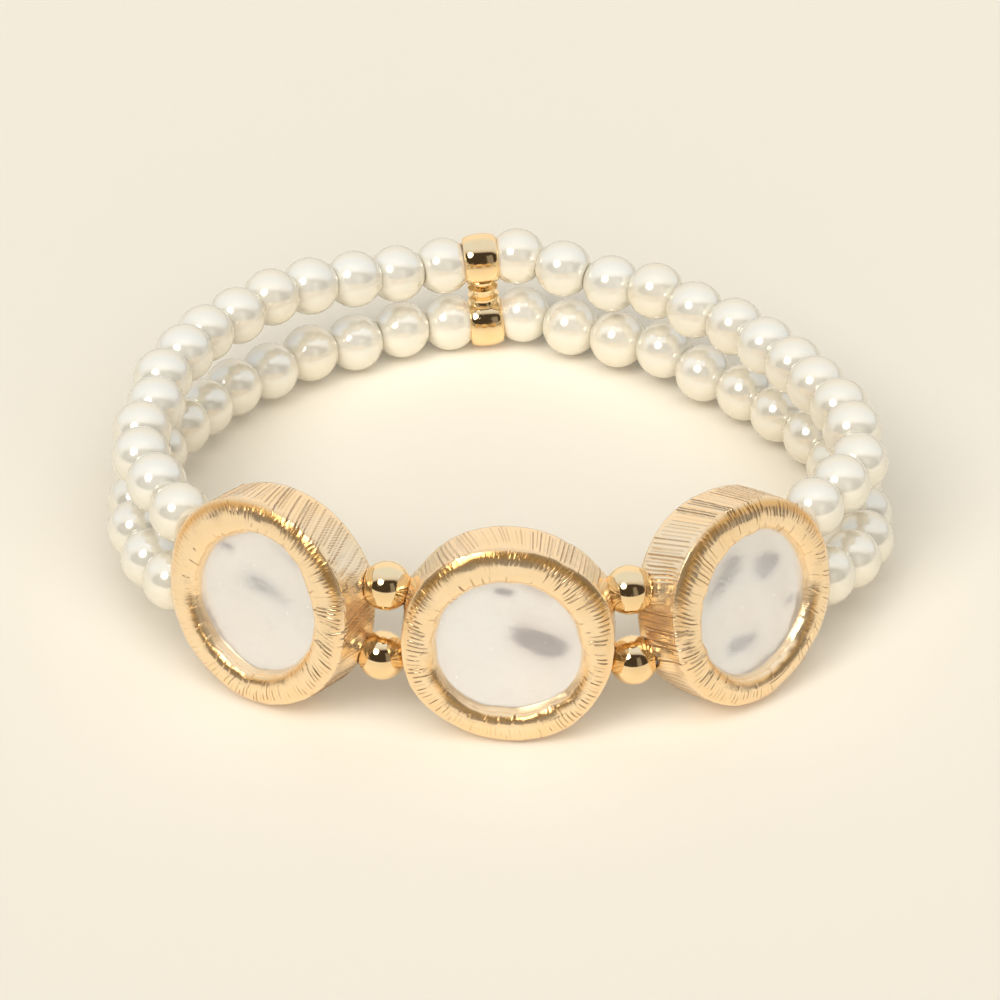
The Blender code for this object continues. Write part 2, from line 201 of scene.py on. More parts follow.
# How far the pearls sag beside the spacer and how far along that reaches, how far the
# middle ones move to the front, how unevenly they sit, and how far from an end they
# are held (mm); how much their sizes differ, as a share
SAG = {"upper": 0.35, "lower": 0.15}
SAG_REACH = 16
SPREAD = {
    ("upper", "left"): 0.0, ("upper", "right"): 0.15,
    ("lower", "left"): 0.3, ("lower", "right"): 0.6}
UNEVEN = 0.16
HELD_REACH = 6
SIZE_SPREAD = 0.004

# The lowest that a pearl's centre lies, the pearls' pitch and gap, and the radii of the
# holes and of the elastic (mm)
LOWEST_PEARL = 2.52
PEARL_PITCH = 4.32
PEARL_GAP = 0.03
PEARL_HOLE = 0.42
BALL_HOLE = 0.62
ELASTIC_RADIUS = 0.32

# The spacer: its place (mm), turn and roll (degrees), the distance between its rings,
# the section of a ring, and the half section of the neck (mm)
SPACER_PLACE = (-1.50, 29.306, 5.66)
SPACER_TURN = 6.0
SPACER_ROLL = 4.0
RING_SPACING = 6.35
RING_SECTION = (
    (-1.36, 1.50), (-1.46, 1.58), (-1.50, 1.72), (-1.49, 1.86), (-1.42, 1.98), (-1.26, 2.09),
    (-0.98, 2.18), (-0.55, 2.255), (0.0, 2.28), (0.55, 2.255), (0.98, 2.18), (1.26, 2.09),
    (1.42, 1.98), (1.49, 1.86), (1.50, 1.72), (1.46, 1.58), (1.36, 1.50), (0.8, 1.46),
    (0.0, 1.45), (-0.8, 1.46))
NECK_SECTION = (
    (-1.30, 1.25), (-1.02, 1.20), (-0.80, 1.06), (-0.72, 1.14), (-0.56, 1.36), (-0.38, 1.36),
    (-0.26, 1.16), (-0.20, 1.02), (0.0, 0.98), (0.20, 1.02), (0.26, 1.16), (0.38, 1.36),
    (0.56, 1.36), (0.72, 1.14), (0.80, 1.06), (1.02, 1.20), (1.30, 1.25))

# The camera: where it looks, how far off it stands, its lens and its sensor (mm)
VIEW_CENTRE = (0.0071, 3.9064, 0.0)
VIEW_DISTANCE = 480.0
LENS_MM = 203.04
SENSOR_MM = 36.0

# The lamps: where each shines from, how wide it looks (degrees), and its colour
KEY_LAMP = ((-0.451, -0.553, 0.700), 26, (1.0, 0.98, 0.95))
FRONT_LAMP = ((0.03, -0.66, 0.75), 80, (1.0, 1.0, 1.0))
FILL_LAMP = ((0.03, -0.60, 0.80), 60, (1.0, 1.0, 1.0))
LAMP_DISTANCE = 0.5

# Light from the dark gap in the tent and from the panel within it
GAP_LIGHT = (0.060, 0.048, 0.036)
PANEL_LIGHT = (0.28, 0.26, 0.23)

# Half the width of the floor (mm)
FLOOR_HALF = 2500.0


def arithmetic(operation):
    """The two methods of an operator: the usual one and its reflected form."""
    return (lambda one, other: one.math(operation, one, other),
            lambda one, other: one.math(operation, other, one))


class Value:
    """A node's output. Arithmetic on it adds Math nodes to its tree."""

    def __init__(self, tree, socket):
        self.tree = tree
        self.socket = socket

    def math(self, operation, *values):
        node = self.tree.nodes.new("ShaderNodeMath")
        node.operation = operation
        for slot, value in zip(node.inputs, values):
            connect(self.tree, slot, value)
        return Value(self.tree, node.outputs[0])

    __add__, __radd__ = arithmetic("ADD")
    __sub__, __rsub__ = arithmetic("SUBTRACT")
    __mul__, __rmul__ = arithmetic("MULTIPLY")
    __truediv__, __rtruediv__ = arithmetic("DIVIDE")
    __pow__, __rpow__ = arithmetic("POWER")


def connect(tree, slot, value):
    """Link a value to a socket, or set the socket to a number, colour or vector."""
    if isinstance(value, Value):
        tree.links.new(value.socket, slot)
    elif slot.type == "RGBA" and len(value) == 3:
        slot.default_value = (*value, 1.0)
    else:
        slot.default_value = value


class Finish:
    """The node tree of a material or of the world."""

    def __init__(self, owner):
        owner.use_nodes = True
        self.owner = owner
        self.tree = owner.node_tree

    def node(self, kind, settings=None, inputs=None, output=0):
        """Add a node: its settings come first, then its sockets' values or links."""
        node = self.tree.nodes.new(kind)
        for name, setting in (settings or {}).items():
            if name == "stops":
                self.set_stops(node.color_ramp, setting)
            else:
                setattr(node, name, setting)
        for name, value in (inputs or {}).items():
            connect(self.tree, node.inputs[name], value)
        return Value(self.tree, node.outputs[output])

    def set_stops(self, ramp, stops):
        """Give a ramp its stops of (place, grey)."""
        while len(ramp.elements) < len(stops):
            ramp.elements.new(1.0)
        for element, (place, grey) in zip(ramp.elements, stops):
            element.position = place
            element.color = (grey, grey, grey, 1.0)

    def place(self):
        """Where a point lies on the resting piece, in metres."""
        return self.node("ShaderNodeTexCoord", output="Object")

    def noise(self, scale, detail=2.0, rough=0.5, warp=0.0, where=None):
        """Noise over the piece, or over the vector that is given."""
        inputs = {"Vector": where or self.place(), "Scale": scale, "Detail": detail}
        inputs |= {"Roughness": rough, "Distortion": warp}
        return self.node("ShaderNodeTexNoise", {}, inputs)

    def ramp(self, value, *stops):
        """Greys between stops of (place, grey)."""
        return self.node("ShaderNodeValToRGB", {"stops": stops}, {"Fac": value})

    def blend(self, factor, first, second):
        """A colour between two others. A Mix node keeps its colour sockets at 6 and 7."""
        inputs = {0: factor, 6: first, 7: second}
        return self.node("ShaderNodeMix", {"data_type": "RGBA"}, inputs, 2)

    def mark(self, name, output="Fac"):
        """A number or vector that the mesh carries at each of its points."""
        return self.node("ShaderNodeAttribute", {"attribute_name": name}, output=output)

    def bump(self, height, strength, distance):
        """Normals from a height, whose full step is the distance in metres."""
        inputs = {"Height": height, "Strength": strength, "Distance": distance}
        return self.node("ShaderNodeBump", {}, inputs)

    def surface(self, **sockets):
        """Set the shader's own sockets; an underscore stands for a space."""
        shader = self.tree.nodes["Principled BSDF"]
        for name, value in sockets.items():
            connect(self.tree, shader.inputs[name.replace("_", " ")], value)


def new_finish(name):
    """A fresh material of that name, ready for its nodes."""
    return Finish(bpy.data.materials.new(name))


def tinted(colour, shares):
    """A colour with each channel scaled."""
    return [channel * share for channel, share in zip(colour, shares)]


def bezel_gold(settings):
    """Cast gold plate: darker in its tool marks, where shade is painted, with a dark
    reflection painted on the ring's rolled edge and its lower slope, and combed with fine
    lines along its section."""
    finish = new_finish("hammered_gold")
    groove = finish.mark("groove")
    comb = finish.mark("comb", "Vector")
    lines = finish.noise(9.0, 3.0, 0.65, 0.0, comb)
    cloud = finish.noise(420.0, 3.0)
    grain = finish.noise(5200.0, 3.0, 0.6)
    # Painted shade: the tool marks darken towards this colour, and are rougher there
    deep = tinted(settings.gold, (0.30, 0.20, 0.11))
    warm = tinted(settings.gold, (1.0, 0.96, 0.88))
    plain = finish.blend(finish.ramp(cloud, (0.35, 0.0), (0.70, 1.0)), settings.gold, warm)
    # A dark reflection of the tent's gap, painted on the ring's rolled edge and lower slope
    edge = tinted(settings.gold, (0.84, 0.57, 0.22))
    painted_dark_band = finish.blend(finish.mark("rolled"), plain, edge)
    colour = finish.blend(groove, painted_dark_band, deep)
    rough = 0.13 + finish.ramp(cloud, (0.40, 0.0), (0.75, 1.0)) * 0.05 + groove * 0.14
    finish.surface(Base_Color=colour, Metallic=0.82, Roughness=rough + lines * 0.06,
                   Coat_Weight=0.3, Coat_Roughness=0.08,
                   Normal=finish.bump(lines + grain * 0.15, 0.6, 0.00003))
    return finish.owner


def polished_gold(settings):
    """Plated balls and spacer: mirror bright, with the faintest haze."""
    finish = new_finish("polished_gold")
    haze = finish.ramp(finish.noise(900.0, 4.0), (0.45, 0.0), (0.80, 1.0))
    pits = finish.ramp(finish.noise(6500.0, 2.0), (0.30, 1.0), (0.36, 0.0))
    warm = tinted(settings.polish, (1.0, 0.95, 0.88))
    finish.surface(Base_Color=finish.blend(haze, settings.polish, warm), Metallic=1.0,
                   Roughness=0.05 + haze * 0.06 + pits * 0.08,
                   Normal=finish.bump(1.0 - pits, 0.2, 0.00001))
    return finish.owner


def pearl_lustre(settings):
    """Pearl essence over a bead: soft body, satin lustre and a glossy skin."""
    finish = new_finish("pearl_lustre")
    tone = finish.mark("tone")
    cloud = finish.noise(300.0, 3.0, 0.55)
    specks = finish.ramp(finish.noise(2600.0, 2.0), (0.24, 1.0), (0.30, 0.0))
    hole = finish.mark("hole")
    cool = tinted(settings.pearl, (0.98, 1.0, 1.04))
    warm = tinted(settings.pearl, (1.0, 0.98, 0.94))
    body = finish.blend(tone * 0.6 + cloud * 0.4, cool, warm)
    colour = finish.blend(hole, body, (0.62, 0.54, 0.42))
    finish.surface(Base_Color=colour, Metallic=0.38,
                   Roughness=0.12 + cloud * 0.05 + specks * 0.1,
                   IOR=1.6, Coat_Weight=0.5, Coat_Roughness=0.03, Coat_IOR=1.5,
                   Normal=finish.bump(cloud, 0.25, 0.00003))
    return finish.owner


def shell_lustre(settings):
    """Hammered shell: milky, with a dark reflection painted in its steep dents, sealed under lacquer.
    """
    finish = new_finish("shell_lustre")
    cloud = finish.noise(190.0, 4.0, 0.55, 0.6)
    veil = finish.noise(520.0, 3.0, 0.6, 1.2)
    sparks = finish.ramp(finish.noise(5000.0, 1.0), (0.80, 0.0), (0.83, 1.0))
    cream = tinted(settings.shell, (1.0, 0.98, 0.95))
    body = finish.blend(finish.ramp(cloud, (0.35, 0.0), (0.65, 1.0)), settings.shell, cream)
    misty = finish.blend(finish.ramp(veil, (0.5, 0.0), (0.8, 0.35)), body, (0.72, 0.70, 0.69))
    # A dark reflection painted in the steepest dents
    colour = finish.blend(finish.mark("dull"), misty, (0.70, 0.63, 0.58))
    finish.surface(Base_Color=colour, Metallic=0.62,
                   Roughness=0.20 + veil * 0.10 + sparks * 0.12,
                   Coat_Weight=0.6, Coat_Roughness=0.04, Coat_IOR=1.5,
                   Normal=finish.bump(veil + sparks * 0.05, 0.5, 0.00007))
    return finish.owner


def clear_elastic():
    """Stretch cord: clear fibres with a milky sheen."""
    finish = new_finish("clear_elastic")
    fibres = finish.noise(3800.0, 2.0)
    finish.surface(Base_Color=finish.blend(fibres, (0.88, 0.84, 0.76), (0.97, 0.95, 0.90)),
                   Roughness=0.15 + fibres * 0.2, Transmission_Weight=0.9, IOR=1.4,
                   Normal=finish.bump(fibres, 0.4, 0.00003))
    return finish.owner


def cream_paper(settings):
    """The floor: matt cream paper with a fine tooth."""
    finish = new_finish("cream_paper")
    tooth = finish.noise(2400.0, 4.0)
    drift = finish.noise(6.0, 2.0)
    deeper = tinted(settings.floor, (1.0, 0.985, 0.965))
    finish.surface(Base_Color=finish.blend(drift, settings.floor, deeper), Roughness=0.62,
                   Specular_IOR_Level=0.25, Normal=finish.bump(tooth, 0.12, 0.00004))
    return finish.owner


def smooth_between(before, start, end, after, t):
    """A Catmull-Rom curve from start to end, for numbers, points and arrays."""
    return 0.5 * (2 * start + (end - before) * t
                  + (2 * before - 5 * start + 4 * end - after) * t ** 2
                  + (3 * (start - end) + after - before) * t ** 3)


def outline_shares(table, angles):
    """The share of the radius at each angle, on a smooth closed curve."""
    shares = np.array(table)
    place = angles / (2 * np.pi) * len(shares)
    index = np.floor(place).astype(int)
    around = [shares[(index + k) % len(shares)] for k in (-1, 0, 1, 2)]
    return smooth_between(*around, place - index)


def smooth_step(low, high, values):
    """0 below low, 1 above high, and a smooth rise between them."""
    t = np.clip((values - low) / (high - low), 0.0, 1.0)
    return t * t * (3 - 2 * t)


def grid_faces(rows, columns, close_rows=False, start=0):
    """Quads over a grid of points whose columns close on themselves."""
    last = rows if close_rows else rows - 1
    row = np.arange(last)[:, None]
    column = np.arange(columns)[None, :]
    beyond = (column + 1) % columns
    above = (row + 1) % rows
    corners = [row * columns + column, row * columns + beyond,
               above * columns + beyond, above * columns + column]
    return (np.stack(corners, axis=-1).reshape(-1, 4) + start).tolist()


def closed_faces(rows, columns):
    """Quads over a grid of points, and a face across its first row and its last."""
    faces = grid_faces(rows, columns)
    faces.append(list(range(columns - 1, -1, -1)))
    faces.append([(rows - 1) * columns + i for i in range(columns)])
    return faces


def add_object(name, data):
    """A new object in the scene."""
    item = bpy.data.objects.new(name, data)
    bpy.context.scene.collection.objects.link(item)
    return item


def add_piece(name, points, faces, material, marks=None, matrix=None):
    """A smooth-shaded mesh piece from points in millimetres in its own frame."""
    points = np.asarray(points, float).reshape(-1, 3) * MM
    if matrix is not None:
        points = points @ np.array(matrix.to_3x3()).T + np.array(matrix.translation)
    mesh = bpy.data.meshes.new(name)
    mesh.from_pydata(points.tolist(), [], faces)
    for mark, values in (marks or {}).items():
        values = np.asarray(values, np.float32)
        is_vector = values.shape[-1] == 3
        layer = mesh.attributes.new(mark, "FLOAT_VECTOR" if is_vector else "FLOAT", "POINT")
        layer.data.foreach_set("vector" if is_vector else "value", values.ravel())
    mesh.validate()
    mesh.shade_smooth()
    mesh.set_sharp_from_angle(angle=math.radians(SHARP_ANGLE))
    mesh.materials.append(material)
    return add_object(name, mesh)


def stand_for(piece, node):
    """The piece takes the place of a node of the frame."""
    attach(piece, BODY)
    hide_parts(node)


def turned_points(section, sides):
    """Rings of points about X from a section of (x, radius)."""
    section = np.array(section)
    turns = 2 * np.pi * np.arange(sides) / sides
    x = np.repeat(section[:, :1], sides, axis=1)
    return np.stack([x, section[:, 1:] * np.cos(turns), section[:, 1:] * np.sin(turns)], axis=-1)


def half_section(radius, start, steps):
    """Half a ball's section from near one end of its hole to near the other."""
    turns = np.linspace(start, math.pi - start, steps)
    return [(-math.cos(a) * radius, math.sin(a) * radius) for a in turns]


def drilled_section(mouth, skin):
    """A section from inside one mouth of a hole, over the skin, into the other."""
    return mouth + skin + [(-x, r) for x, r in reversed(mouth)]


def bezel_matrix(side):
    """Where a bezel stands: raised, turned and leaning back."""
    place, turn, lean = BEZEL_PLACES[side]
    raised = Vector(place) + Vector((0, 0, BEZEL_CASTS[side][3]))
    matrix = Matrix.Translation(raised * MM) @ Matrix.Rotation(math.radians(turn), 4, "Z")
    return matrix @ Matrix.Rotation(math.radians(-lean), 4, "X")


def bezel_base(side):
    """The bezel's plain surface before any tool mark, the distance along its section
    from the back edge, both in millimetres, and the angle of each column."""
    radius, crown, back, _ = BEZEL_CASTS[side]
    angles = 2 * np.pi * np.arange(BEZEL_COLUMNS) / BEZEL_COLUMNS
    outer = radius * outline_shares(BEZEL_OUTLINE[side], angles)
    inner = OPENING_RADIUS * outline_shares(OPENING_OUTLINE[side], angles)
    stations = []
    for kind, offset, depth, rows in BEZEL_SECTION:
        y = back - depth if kind == "back" else crown + depth
        rim = inner if kind == "lip" else outer
        stations.append((rim + offset, np.full_like(angles, y), rows))
    radii = []
    places = []
    for i, (_, _, rows) in enumerate(stations[:-1]):
        around = [stations[min(max(i + k, 0), len(stations) - 1)] for k in (-1, 0, 1, 2)]
        for step in range(rows):
            radii.append(smooth_between(*(s[0] for s in around), step / rows))
            places.append(smooth_between(*(s[1] for s in around), step / rows))
    radii = np.array(radii + [stations[-1][0]])
    places = np.array(places + [stations[-1][1]])
    steps = np.hypot(np.diff(radii.mean(axis=1)), np.diff(places.mean(axis=1)))
    along = np.concatenate([[0.0], np.cumsum(steps)])
    points = np.stack([radii * np.cos(angles), places, radii * np.sin(angles)], axis=-1)
    return points, along, angles


def surface_normals(points):
    """Outward normals of a grid whose columns close on themselves."""
    across = np.roll(points, -1, axis=1) - np.roll(points, 1, axis=1)
    along = np.gradient(points, axis=0)
    normals = np.cross(along, across)
    normals /= np.linalg.norm(normals, axis=-1, keepdims=True) + 1e-12
    return normals


def score(rng, fields, along, angles, strength, spacing, starts, lengths, fade, width,
          choice, depth, full, lean, lands, slant=0.0, bend=0.0):
    """Score lines across a band of the surface, each between two soft ends, and tip
    and pillow the lands between them by the two numbers in lands. The fields are the
    height and the shade painted in the marks, which is full at a depth of full."""
    height, tone = fields
    round_about = 2 * math.pi * BEZEL_RADIUS
    places = np.cumsum(rng.uniform(*spacing, int(round_about / spacing[0])))
    places = places[places < round_about - spacing[0]]
    count = len(places)
    places = places + rng.uniform(0, spacing[0])
    bold = np.interp(places / BEZEL_RADIUS, angles, strength, period=2 * math.pi)
    deep = depth * bold * rng.choice(choice, count)
    start = rng.uniform(*starts, count)
    end = start + rng.uniform(*lengths, count) * np.clip(0.6 + 0.4 * bold, 0.5, 1.3)
    tip = rng.normal(0, lands[0], count) * np.minimum(bold, 1.0)
    rows = np.nonzero((along > start.min() - 0.2) & (along < end.max() + 0.2))[0]
    way = (along[rows] - along[rows[0]])[:, None]
    tilt = ripple(rng, np.zeros(1), angles, 40.0, 9.0, 6, lean)[0]
    drift = (tilt + slant) * way + bend * way ** 2
    where = (BEZEL_RADIUS * angles - drift) % round_about
    after = np.searchsorted(places, where)
    held = np.ones_like(where)
    for line in ((after - 1) % count, after % count):
        away = np.abs(where - places[line])
        away = np.minimum(away, round_about - away)
        inside = smooth_step(start[line] - SCORE_START, start[line] + SCORE_START,
                             along[rows][:, None])
        inside = inside * (1 - smooth_step(end[line] - fade, end[line], along[rows][:, None]))
        cut = np.exp(-(away / width) ** 1.5) * inside
        height[rows] -= deep[line] * cut
        # Shade painted along each score line
        dark = np.exp(-(away / width / 1.1) ** 2) * inside
        tone[rows] = np.maximum(tone[rows], dark * np.minimum(1.0, deep[line] / full))
        held = held * inside
    left = places[(after - 1) % count]
    gap = (places[after % count] - left) % round_about
    share = ((where - left) % round_about) / gap - 0.5
    land = gap * (tip[after % count] * share - lands[1] * share ** 2)
    height[rows] += land * held


def ripple(rng, along, angles, longest, shortest, count, slope):
    """Smooth random unevenness that closes round the bezel, from waves between two
    lengths, each with about the same slope."""
    total = np.zeros((len(along), len(angles)))
    for _ in range(count):
        length = math.exp(rng.uniform(math.log(shortest), math.log(longest)))
        heading = rng.uniform(0, math.pi)
        turns = round(2 * math.pi * BEZEL_RADIUS / length * math.cos(heading))
        phase = turns * angles[None, :] + 2 * math.pi / length * math.sin(heading) * along[:, None]
        total += length / (2 * math.pi) * np.sin(phase + rng.uniform(0, 2 * math.pi))
    return total * slope / math.sqrt(count)


def waver(rng, angles, count):
    """A random strength round the bezel, about 1."""
    total = np.zeros_like(angles)
    for turns in range(2, count + 2):
        total += np.sin(turns * angles + rng.uniform(0, 2 * math.pi)) / math.sqrt(count)
    return np.clip(1.0 + 0.4 * total, 0.3, 1.6)


def band(along, centre, width):
    """A soft band of the section, 1 at its centre, for each row of the surface."""
    return np.exp(-((along - centre) / width) ** 2)[:, None]


def tool_marks(side, along, angles, wall_end, lip_start, settings):
    """The height of the hammered and filed surface, the shade painted in its marks, and
    how far a dark reflection is painted on the ring's rolled edge in its upper half and
    on its lower slope in its lower half."""
    rng = np.random.default_rng(MARK_SEEDS[side])
    height = np.zeros((len(along), len(angles)))
    groove = np.zeros_like(height)
    fields = (height, groove)
    scale = settings.mark_depth / MM

    files = outline_shares(FILE_MARKS[side], angles) * waver(rng, angles, 9)
    score(rng, fields, along, angles, files, spacing=(0.24, 0.46), starts=(0.4, 1.0),
          lengths=(wall_end - 1.5, wall_end - 0.6), fade=0.4, width=0.045,
          choice=(0.2, 0.5, 0.8, 1.3), depth=0.7 * scale, full=0.9 * scale, lean=0.09,
          lands=(0.12, 0.05), slant=0.02)
    chisels = outline_shares(CHISEL_MARKS[side], angles) * waver(rng, angles, 7)
    score(rng, fields, along, angles, chisels, spacing=(0.32, 0.52),
          starts=(wall_end + 0.3, wall_end + 0.9), lengths=(0.8, 1.8), fade=0.6,
          width=0.045, choice=(0.3, 0.8, 1.3), depth=0.7 * scale, full=0.7 * scale,
          lean=0.12, lands=(0.05, 0.05), bend=0.05)
    nicks = waver(rng, angles, 7)
    score(rng, fields, along, angles, nicks, spacing=(0.6, 2.4),
          starts=(lip_start - 0.5, lip_start + 0.3), lengths=(0.4, 1.0), fade=0.3,
          width=0.08, choice=(0.3, 0.6, 0.9), depth=scale, full=1.5 * scale,
          lean=0.2, lands=(0.02, 0.0), bend=0.1)

    ring = smooth_step(wall_end - 0.1, wall_end + 0.3, along)[:, None]
    height += ring * ripple(rng, along, angles, 5.0, 1.8, 18, 0.06)
    height += ring * ripple(rng, along, angles, 1.5, 0.6, 18, 0.02)
    height += (1 - ring) * ripple(rng, 0.15 * along, angles, 4.0, 0.6, 18, 0.06)
    height += (1 - ring) * ripple(rng, along, angles, 1.6, 0.5, 18, 0.05)
    burr = band(along, wall_end - 0.1, 0.10)
    height += burr * np.abs(ripple(rng, 0 * along, angles, 2.5, 0.4, 16, 0.35))
    lip = band(along, lip_start + 0.7, 0.5)
    height += lip * ripple(rng, along, angles, 3.0, 0.8, 14, 0.08)

    # The dark reflection is painted on the rolled edge of the upper half and the lower slope of the
    # lower half, where the camera sees the tent's dark gap
    top = 0.1 + 0.8 * smooth_step(-0.1, 0.6, np.sin(angles))
    bottom = 0.75 * smooth_step(0.0, 0.5, -np.sin(angles))
    edge = band(along, wall_end + 0.6, 0.45)
    slope = band(along, lip_start + 0.25, 0.28)
    return height, groove, edge * top + slope * bottom


def swell_mouths(points):
    """Swell the wall out to the ball or pearl that bears on each mouth of a hole."""
    across = points[..., 0].copy()
    for height in HOLE_HEIGHTS.values():
        away = np.hypot(points[..., 2] - height, points[..., 1])
        swell = (1 - smooth_step(*MOUTH_REACH, away)) * (np.abs(across) > WALL_ACROSS)
        points[..., 0] += np.sign(across) * swell * MOUTH_SWELL


def scoop_seats(points, matrix):
    """Scoop the wall where a ball bears on it."""
    to_bezel = matrix.inverted()
    for level in LEVELS:
        for pair in ("left", "right"):
            low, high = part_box("gold_ball_" + pair + "_" + level)
            centre = np.array(to_bezel @ ((low + high) / 2)) / MM
            radius = (high.z - low.z) / 2 / MM + BALL_SEAT
            away = points - centre
            distance = np.linalg.norm(away, axis=-1, keepdims=True)
            points[:] = np.where(distance < radius, centre + away / distance * radius, points)


def make_bezel(side, material, settings):
    """One bezel: flat back, filed wall, hammered ring, rolled lip and recess."""
    points, along, angles = bezel_base(side)
    crown = BEZEL_CASTS[side][1]
    wall_end = along[np.argmax(points[:, 0, 1] < crown + WALL_DEPTH)]
    radii = np.hypot(points[:, 0, 0], points[:, 0, 2])
    lip_start = along[np.argmax(radii < points[-1, 0, 0] + LIP_REACH)]
    height, groove, rolled = tool_marks(side, along, angles, wall_end, lip_start, settings)
    off_back = smooth_step(0.05, 0.5, along)[:, None]
    points = points + surface_normals(points) * (height * off_back)[..., None]
    swell_mouths(points)
    matrix = bezel_matrix(side)
    scoop_seats(points, matrix)
    faces = closed_faces(*points.shape[:2])
    comb = np.stack(np.broadcast_arrays(BEZEL_RADIUS * np.cos(angles)[None, :],
                                        BEZEL_RADIUS * np.sin(angles)[None, :],
                                        COMB_STRETCH * along[:, None]), axis=-1)
    # The marks carry the shade painted in the tool marks and the dark reflection painted on the ring
    marks = {"groove": np.clip(groove, 0, 1).ravel(), "rolled": rolled.ravel(), "comb": comb}
    piece = add_piece("bezel_" + side + "_cast", points, faces, material, marks, matrix)
    for vertex in piece.data.vertices:
        vertex.co.z = max(vertex.co.z, 0.0)
    stand_for(piece, "bezel_" + side)


def inlay_relief(side, x, z, relief):
    """How far the hammered face stands out at points of the inlay, in millimetres, and
    how strongly a dark reflection is painted in its steepest dents. Each dent tips the
    face up by a slope."""
    rise = np.zeros_like(x)
    dull = np.zeros_like(x)
    for across, up, half_length, half_width, turn, slope in INLAY_DENTS[side]:
        a = math.radians(turn)
        u = (x - across) * math.cos(a) + (z - up) * math.sin(a)
        w = (z - up) * math.cos(a) - (x - across) * math.sin(a)
        hold = np.exp(-np.abs(u / half_length) ** 3 * 0.8 - (w / (2.6 * half_width)) ** 2)
        rise -= slope * relief * half_width * np.tanh(w / half_width) * hold
        steep = max(0.0, slope - DENT_REFLECTION_SLOPE) / DENT_REFLECTION_RANGE
        dull = np.maximum(dull, steep * np.exp(-(u / half_length) ** 4 - 0.8 * (w / half_width) ** 2))
    rise += 0.02 * np.sin(1.1 * x + 0.7 * z + 1) + 0.02 * np.sin(-0.6 * x + 1.3 * z)
    return rise, np.minimum(dull, 1.0)


def make_inlay(side, material, settings):
    """One hammered shell plate, its edge tucked under the bezel's lip."""
    angles = 2 * np.pi * np.arange(INLAY_COLUMNS) / INLAY_COLUMNS
    edge = OPENING_RADIUS * outline_shares(OPENING_OUTLINE[side], angles) + INLAY_TUCK
    shares = np.sin(np.linspace(0.02, 0.5, INLAY_RINGS) * math.pi)[::-1]
    radii = shares[:, None] * edge[None, :]
    x = radii * np.cos(angles)
    z = radii * np.sin(angles)
    flat = 1 - smooth_step(0.88, 1.0, shares)[:, None]
    crown = BEZEL_CASTS[side][1]
    rise, dull = inlay_relief(side, x, z, settings.relief)
    depth = INLAY_FACE - rise * (0.75 + 0.25 * flat)
    face = np.stack([x, crown + depth, z], axis=-1)
    back = face[0].copy()
    back[:, 1] = crown + INLAY_BACK
    points = np.concatenate([back[None], face])
    faces = closed_faces(*points.shape[:2])
    # Where a dark reflection is painted in the dents
    marks = {"dull": np.concatenate([dull[:1], dull]).ravel()}
    piece = add_piece("inlay_" + side + "_plate", points, faces, material, marks, bezel_matrix(side))
    stand_for(piece, "inlay_" + side)


def run_places(run):
    """Centres, directions and pitches of one run of pearls, from the spacer outwards,
    in millimetres. They sag a little by the spacer and sit unevenly on their cord."""
    rng = np.random.default_rng(RUN_SEEDS[run])
    chosen = [np.array(point) for point in RUNS[run]]
    fine = []
    for before, start, end, after in zip(chosen, chosen[1:], chosen[2:], chosen[3:]):
        fine += [smooth_between(before, start, end, after, step / CURVE_STEPS)
                 for step in range(CURVE_STEPS)]
    fine = np.array(fine + [chosen[-2]])
    lengths = np.concatenate([[0.0], np.cumsum(np.linalg.norm(np.diff(fine, axis=0), axis=1))])
    count = int(lengths[-1] // PEARL_PITCH) + 1
    shares = np.linspace(0, 1, count)
    targets = lengths[-1] * shares + SPREAD[run] * np.sin(math.pi * shares)
    centres = np.stack([np.interp(targets, lengths, fine[:, axis]) for axis in range(3)], axis=1)
    ahead = np.gradient(centres, axis=0)
    ahead /= np.linalg.norm(ahead, axis=1, keepdims=True)
    centres[:, 2] -= SAG[run[0]] * (1 - smooth_step(0, SAG_REACH, targets))
    free = smooth_step(0, HELD_REACH, targets)
    free = free * (1 - smooth_step(lengths[-1] - HELD_REACH, lengths[-1], targets))
    across = np.stack([-ahead[:, 1], ahead[:, 0], 0 * targets], axis=1)
    centres += across * (rng.normal(0, UNEVEN, count) * free)[:, None]
    centres[:, 2] += rng.normal(0, UNEVEN, count) * free
    centres[:, 2] = np.maximum(centres[:, 2], LOWEST_PEARL)
    return centres, ahead, np.gradient(targets)


def pearl_section(diameter, length):
    """Half section of one pearl: a ball with a small flat round each mouth of its
    hole, from inside one mouth to the other."""
    radius = diameter / 2
    start = math.acos(min(0.98, (length / 2 + 0.02) / radius))
    flat = radius * math.sin(start)
    end = -length / 2
    mouth = [(end + 0.7, PEARL_HOLE * 0.8), (end + 0.04, PEARL_HOLE * 0.9),
             (end, PEARL_HOLE * 1.1), (end, flat * 0.85), (end + 0.015, flat * 0.97)]
    return drilled_section(mouth, half_section(radius, start + 0.05, PEARL_STEPS))


